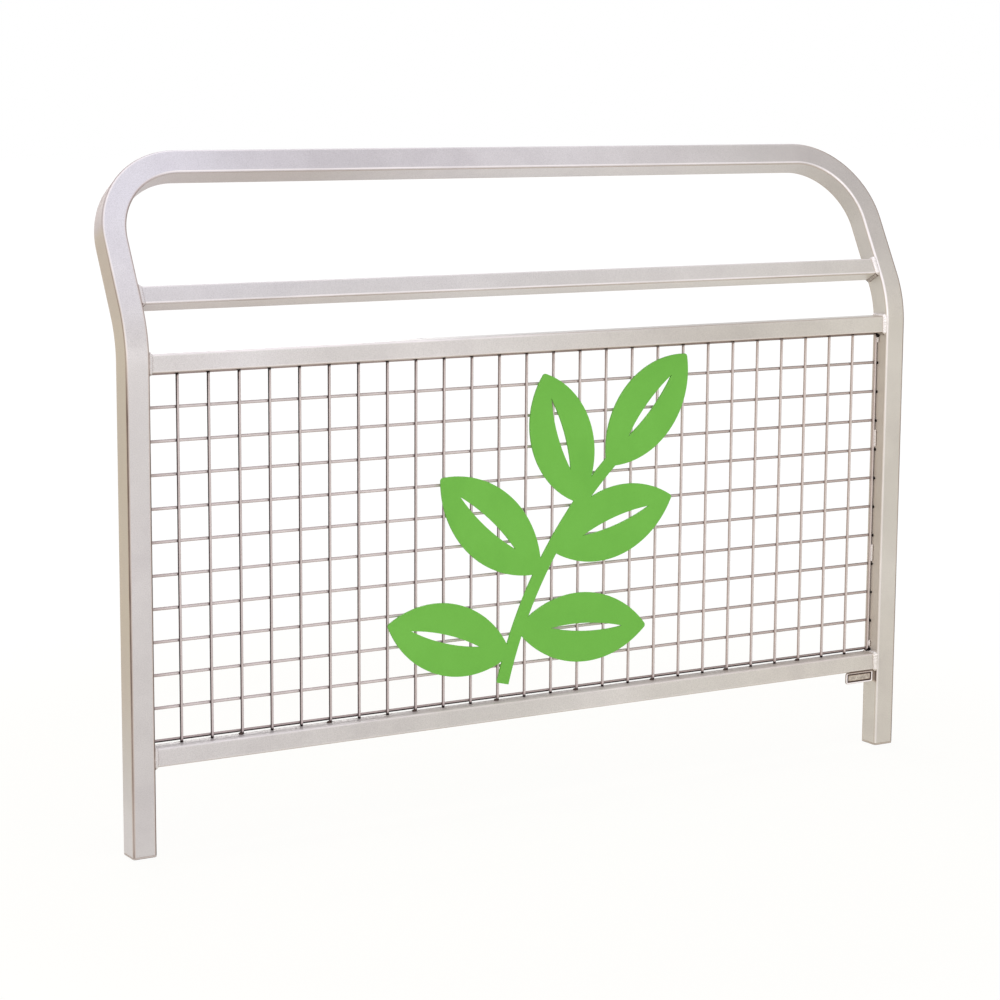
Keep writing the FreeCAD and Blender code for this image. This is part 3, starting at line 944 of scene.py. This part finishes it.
def row_tone(point, outward, edge):
    """Painted shade along its top and underside and at its ends, darkest in the lowest row and dark in
    the top row under the rail, a painted highlight along the front, and darker towards the right.
    """
    lowest = 1 - smooth(2, 6, point.z - LOW_ROW)
    highest = 1 - smooth(2, 6, TOP_ROW - point.z)
    right = smooth(0.3, 0.9, point.x / POST_PITCH)
    rims = (0.6 + 0.55 * right) * smooth(0.50, 0.90, -outward.z)
    rims += (0.5 + 0.45 * right) * smooth(0.60, 1.0, outward.z)
    tip = max(1.4 * (1 - smooth(2.0, 6, edge)), 0.35 * (1 - smooth(6, 45, edge)))
    lowest *= 0.4 + 1.3 * smooth(-0.15, 0.25, -outward.z)
    wear_and_highlight = 0.4 * smooth(0.5, 1.0, -outward.y) * (1 - max(lowest, highest))
    grime_and_shade = max(rims, tip, lowest, 0.5 * highest, 0.28 * right)
    return wear_and_highlight, grime_and_shade, -0.8 * right


def blob(build, centre, radii, seed, rough, grime_and_shade, level=2):
    """Lumpy ellipsoid of weld metal."""
    bm = bmesh.new()
    bmesh.ops.create_icosphere(bm, subdivisions=level, radius=1.0)
    base = len(build.verts)
    for v in bm.verts:
        swell = 1 + rough * noise.noise(v.co * 1.7 + Vector((seed * 5.1, 0, seed)))
        offset = Vector((v.co.x * radii[0], v.co.y * radii[1], v.co.z * radii[2])) * swell
        # lighter at the front: a painted highlight
        build.add(centre + offset, 0.5 * smooth(0.2, 0.9, -v.co.y), grime_and_shade)
    for f in bm.faces:
        build.faces.append(tuple(base + v.index for v in f.verts))
    bm.free()


build = Build()
for i, x in enumerate(UPRIGHT_XS):
    low_end = Vector((x, UPRIGHT_Y, PANEL_LOW + MESH_CLEARANCE))
    high_end = Vector((x, UPRIGHT_Y, PANEL_HIGH - MESH_CLEARANCE))
    wire(build, low_end, high_end, i, upright_tone)
for j, z in enumerate(ROW_ZS):
    left_end = Vector((POST_FACE + MESH_CLEARANCE, ROW_Y, z))
    right_end = Vector((RIGHT_FACE - MESH_CLEARANCE, ROW_Y, z))
    wire(build, left_end, right_end, FIRST_ROW_SEED + j, row_tone)
seam_y = (UPRIGHT_Y + ROW_Y) / 2
# lumps where the wires cross, darkened by grime and painted shade
for i, x in enumerate(UPRIGHT_XS):
    for j, z in enumerate(ROW_ZS):
        seed = i * len(ROW_ZS) + j
        blob(build, Vector((x, seam_y, z)), CROSSING, seed, rough=0.25, grime_and_shade=0.85)
# dark lumps at the rows' ends and in the mesh's corners: painted shadow in the gaps by the posts
for side_x in (POST_FACE + LUMP_FROM_POST, RIGHT_FACE - LUMP_FROM_POST):
    for j, z in enumerate(ROW_ZS):
        centre = Vector((side_x, UPRIGHT_FRONT - ROW_END_IN_FRONT, z))
        blob(build, centre, ROW_END, j + side_x, rough=0.2, grime_and_shade=1.6)
    for z, radii in CORNER_LUMPS:
        centre = Vector((side_x, UPRIGHT_FRONT - CORNER_IN_FRONT, z))
        blob(build, centre, radii, side_x, rough=0.2, grime_and_shade=1.6)
build.make("mesh_wires", ["mesh_panel"], "mesh_wire", wire_steel, sharp=PIECE_SHARP)


def tack_group(name, node, xs, z):
    """Small tack welds in a row, each at the left side of an upright."""
    build = Build()
    for index, x in enumerate(xs):
        seed = index * 1.3 + len(name)
        blob(build, Vector((x, UPRIGHT_Y, z)), TACK, seed, rough=0.3, grime_and_shade=1.2, level=3)
    build.make(name, [node], "weld", weld_steel)


tacked = UPRIGHT_XS[TACK_EVERY_COUNT:-1:TACK_EVERY_COUNT]
tack_xs = [x - WIRE / 2 for x in tacked]
tack_group("tack_welds_top", "mesh_tacks_top", tack_xs, PANEL_HIGH)
tack_group("tack_welds_bottom", "mesh_tacks_bottom", tack_xs, PANEL_LOW)

# beads up the posts' inner faces: long ones above a row, short ones in the corners
BEAD_STEP = 0.45
BEAD_SIDES = 14
BEAD_WIDTH = 7.0
BEAD_HEIGHT = 3.4
BEAD_SINK = 0.8
BEAD_RIPPLE = 2.7
BEAD_END = 3.0
BEAD_IN_FRONT = 0.6


def side_bead(build, start, end, way, seed):
    """Rippled bead from start to end; way is 1 on the left post and -1 on the right one."""
    length = (end - start).length
    along = (end - start) / length
    count = round(length / BEAD_STEP)
    rings = []
    for i in range(count + 1):
        s = length * i / count
        ends = max(0.0, 1 - abs(2 * s / length - 1) ** (length / BEAD_END)) ** 0.5
        ripple = 0.5 + 0.5 * math.cos(2 * math.pi * s / BEAD_RIPPLE)
        lump = noise.noise(Vector((s * 0.25, seed, 2.5)))
        swell = (1 - 0.16 * ripple + 0.16 * lump) * max(0.05, ends)
        ring = []
        for k in range(BEAD_SIDES):
            angle = 2 * math.pi * k / BEAD_SIDES
            up = math.sin(angle)
            lift = up * (BEAD_HEIGHT if up > 0 else BEAD_SINK)
            offset = Y_AXIS * (math.cos(angle) * BEAD_WIDTH / 2) + X_AXIS * (way * lift)
            # painted highlights on the bead's crests, and painted shade along its underside and toes
            wear_and_highlight = (1.1 - 0.5 * ripple) * smooth(0.3, 0.8, up)
            grime_and_shade = 1.5 * (1 - smooth(0.15, 0.6, up))
            ring.append(build.add(start + along * s + offset * swell, wear_and_highlight, grime_and_shade))
        rings.append(ring)
    build.skin(rings)


def bead_run(number):
    """Lowest and highest point of one side bead, counted from the top."""
    in_corner = number in (0, SIDE_TACK_COUNT - 1)
    length = CORNER_TACK_LENGTH if in_corner else SIDE_TACK_LENGTH
    row = ROW_ZS[math.ceil(number * (len(ROW_ZS) - 1) / (SIDE_TACK_COUNT - 1))]
    from_row = WIRE / 2 + SIDE_TACK_GAP
    if number == 0:
        return row - from_row - length, row - from_row
    return row + from_row, row + from_row + length


bead_y = UPRIGHT_FRONT - BEAD_IN_FRONT
for side, x, way in (("left", POST_FACE, 1), ("right", RIGHT_FACE, -1)):
    build = Build()
    for number in range(SIDE_TACK_COUNT):
        low, high = bead_run(number)
        seed = number + x * 0.01
        side_bead(build, Vector((x, bead_y, low)), Vector((x, bead_y, high)), way, seed)
    build.make("side_welds_" + side, ["mesh_tacks_" + side], "weld", weld_steel)


# cast tag: a blank plate with a rounded rim round a shallow field
tag_low, tag_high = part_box("tag_plate")
TAG_LEFT, TAG_RIGHT = tag_low[0] / MM, tag_high[0] / MM
TAG_BOTTOM, TAG_TOP = tag_low[2] / MM, tag_high[2] / MM
TAG_FRONT, TAG_BACK = tag_low[1] / MM, tag_high[1] / MM
TAG_FIELD = TAG_FRONT + 1.0
TAG_CORNER_STEPS = 6
# rings from the back over the rim to the field: inset from the outline, depth, corner radius,
# wear with a painted highlight on the rim, grime with painted shade round the field's edge
TAG_RINGS = (
    (0.4, TAG_BACK, 4.0, 0.0, 0.8),
    (0.0, TAG_BACK - 0.4, 4.0, 0.0, 0.8),
    (0.0, TAG_FRONT + 0.8, 4.0, 0.2, 0.6),
    (0.3, TAG_FRONT + 0.25, 4.0, 0.8, 0.1),
    (0.9, TAG_FRONT + 0.02, 4.0, 1.2, 0.0),
    (2.1, TAG_FRONT + 0.02, 4.2, 1.2, 0.0),
    (2.7, TAG_FRONT + 0.25, 4.6, 0.7, 0.1),
    (3.0, TAG_FIELD - 0.15, 5.0, 0.0, 1.5),
    (3.6, TAG_FIELD, 5.4, 0.0, 1.6),
    (5.0, TAG_FIELD, 6.2, 0.1, 1.3),
    (5.8, TAG_FIELD, 7.0, 0.1, 0.3),
    (7.2, TAG_FIELD, 8.0, 0.1, 0.0),
)


def tag_ring(inset, depth, corner, wear_and_highlight, grime_and_shade):
    """One rounded rectangle of the tag, inset from its outline, with a painted shadow of the rail
    just under the rail.
    """
    ring = []
    radius = max(0.8, corner - inset)
    for quarter in range(4):
        right_side = quarter in (0, 3)
        top_side = quarter in (0, 1)
        cx = TAG_RIGHT - inset - radius if right_side else TAG_LEFT + inset + radius
        cz = TAG_TOP - inset - radius if top_side else TAG_BOTTOM + inset + radius
        for k in range(TAG_CORNER_STEPS + 1):
            angle = math.radians(90 * (quarter + k / TAG_CORNER_STEPS))
            point = Vector((cx + radius * math.cos(angle), depth, cz + radius * math.sin(angle)))
            under_rail = 0.9 * smooth(TAG_TOP - 3, TAG_TOP - 0.8, point.z)
            ring.append(build.add(point, wear_and_highlight * (1 - under_rail), max(grime_and_shade, under_rail)))
    return ring


build = Build()
build.skin([tag_ring(*values) for values in TAG_RINGS])
build.make("tag", ["tag_plate"], "tag", tag_metal, sharp=PIECE_SHARP)


# nodes that keep their own shape, with broken edges
def finish_node(node, material, bevel):
    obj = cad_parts[node]
    for slot in obj.material_slots:
        slot.link = "OBJECT"
        slot.material = material
    edges = obj.modifiers.new("broken edges", "BEVEL")
    edges.width = bevel * MM
    edges.segments = 2
    edges.limit_method = "ANGLE"
    edges.angle_limit = math.radians(PIECE_SHARP)
    add_flat_normals(obj, keep_sharp=False)


finish_node("motif_plate", green, 0.5)
finish_node("motif_tacks", weld_steel, 0.4)
finish_node("tag_angle", steel, 0.4)


# floor: white to the eye, pale and matt to the light, with a soft shadow near the railing
FLOOR_SIZE = 60
FLOOR_MIDDLE = (0.7, 0, -0.0005)
FLOOR_COLOUR = (0.94, 0.905, 0.75)
FLOOR_GLOW = 1.03
# the white's share near the railing, and how far away it becomes whole
FLOOR_NEAR_SHARE = 0.87
FLOOR_NEAR = 1.0
FLOOR_FAR = 2.4


def sees_white(tree):
    """1 for camera, glossy and transmission rays."""
    path = tree.nodes.new("ShaderNodeLightPath")
    total = path.outputs["Is Camera Ray"]
    for name in ("Is Glossy Ray", "Is Transmission Ray"):
        total = math_node(tree, "MAXIMUM", total, path.outputs[name])
    return total


bpy.ops.mesh.primitive_plane_add(size=FLOOR_SIZE, location=FLOOR_MIDDLE)
floor = bpy.context.object
floor.name = "floor"
floor_paint, tree = new_material("floor_paint")
out = tree.nodes.new("ShaderNodeOutputMaterial")
matt = tree.nodes.new("ShaderNodeBsdfDiffuse")
matt.inputs["Color"].default_value = (*FLOOR_COLOUR, 1)
glow = tree.nodes.new("ShaderNodeEmission")
glow.inputs["Color"].default_value = (1, 1, 1, 1)
glow.inputs["Strength"].default_value = FLOOR_GLOW
coords = tree.nodes.new("ShaderNodeTexCoord").outputs["Object"]
distance = tree.nodes.new("ShaderNodeVectorMath")
distance.operation = "LENGTH"
tree.links.new(coords, distance.inputs[0])
white_share = remap(tree, distance.outputs["Value"], FLOOR_NEAR_SHARE, 1.0, FLOOR_NEAR, FLOOR_FAR)
white = math_node(tree, "MULTIPLY", sees_white(tree), white_share)
both = mix_shader(tree, white, matt.outputs[0], glow.outputs[0])
tree.links.new(both, out.inputs["Surface"])
floor.data.materials.append(floor_paint)

# world: soft studio light, white where it is seen
AMBIENT_COLOUR = (1.0, 0.99, 0.985)
AMBIENT_STRENGTH = 0.44
world = bpy.data.worlds.new("studio")
bpy.context.scene.world = world
world.use_nodes = True
tree = world.node_tree
tree.nodes.clear()
out = tree.nodes.new("ShaderNodeOutputWorld")
ambient = tree.nodes.new("ShaderNodeBackground")
ambient.inputs["Color"].default_value = (*AMBIENT_COLOUR, 1)
ambient.inputs["Strength"].default_value = AMBIENT_STRENGTH
plain = tree.nodes.new("ShaderNodeBackground")
plain.inputs["Color"].default_value = (1, 1, 1, 1)
both = mix_shader(tree, sees_white(tree), ambient.outputs[0], plain.outputs[0])
tree.links.new(both, out.inputs["Surface"])

# lamps: name, place, size, watts, colour; all of them face the railing's middle
LAMPS = (
    ("front_left", (-4.2, -6.0, 2.6), (4.0, 3.0), 103, (1.0, 0.98, 0.985)),
    ("front_low", (0.3, -7.5, 0.9), (6.0, 1.4), 102, (1.0, 0.985, 0.99)),
    ("front_right", (5.2, -5.5, 2.4), (4.0, 3.0), 19, (1.0, 0.96, 0.95)),
    ("top_front", (0.7, -3.6, 5.2), (5.0, 3.0), 26, (0.88, 0.90, 1.0)),
    ("top", (0.7, 0.3, 5.6), (5.0, 4.0), 80, (1.0, 0.98, 1.0)),
    ("left_side", (-6.0, 1.0, 1.2), (4.0, 3.0), 74, (1.0, 0.94, 0.76)),
    ("back", (1.5, 6.5, 2.0), (5.0, 3.0), 120, (1.0, 0.98, 0.95)),
)
MIDDLE = Vector((0.73, 0.0, 0.5))
for name, place, size, watts, colour in LAMPS:
    data = bpy.data.lights.new(name, "AREA")
    data.shape = "RECTANGLE"
    data.size, data.size_y = size
    data.energy = watts
    data.color = colour
    lamp = bpy.data.objects.new(name, data)
    bpy.context.scene.collection.objects.link(lamp)
    lamp.location = place
    lamp.rotation_euler = (MIDDLE - Vector(place)).to_track_quat("-Z", "Y").to_euler()

# camera at the viewing angle: its place in metres, and its turns about X, Y and Z in degrees
CAMERA_PLACE = (-1.60091, -3.74921, 1.21044)
CAMERA_TURNS = (80.9209, -0.3537, -30.9248)
CAMERA_LENS = 96.4536
camera_data = bpy.data.cameras.new("camera")
camera_data.sensor_width = 36
camera_data.lens = CAMERA_LENS
camera_data.clip_end = 100
camera = bpy.data.objects.new("camera", camera_data)
bpy.context.scene.collection.objects.link(camera)
turns = Euler([math.radians(turn) for turn in CAMERA_TURNS])
camera.matrix_world = Matrix.LocRotScale(Vector(CAMERA_PLACE), turns, None)
bpy.context.scene.camera = camera
bpy.context.scene.view_settings.view_transform = "Standard"
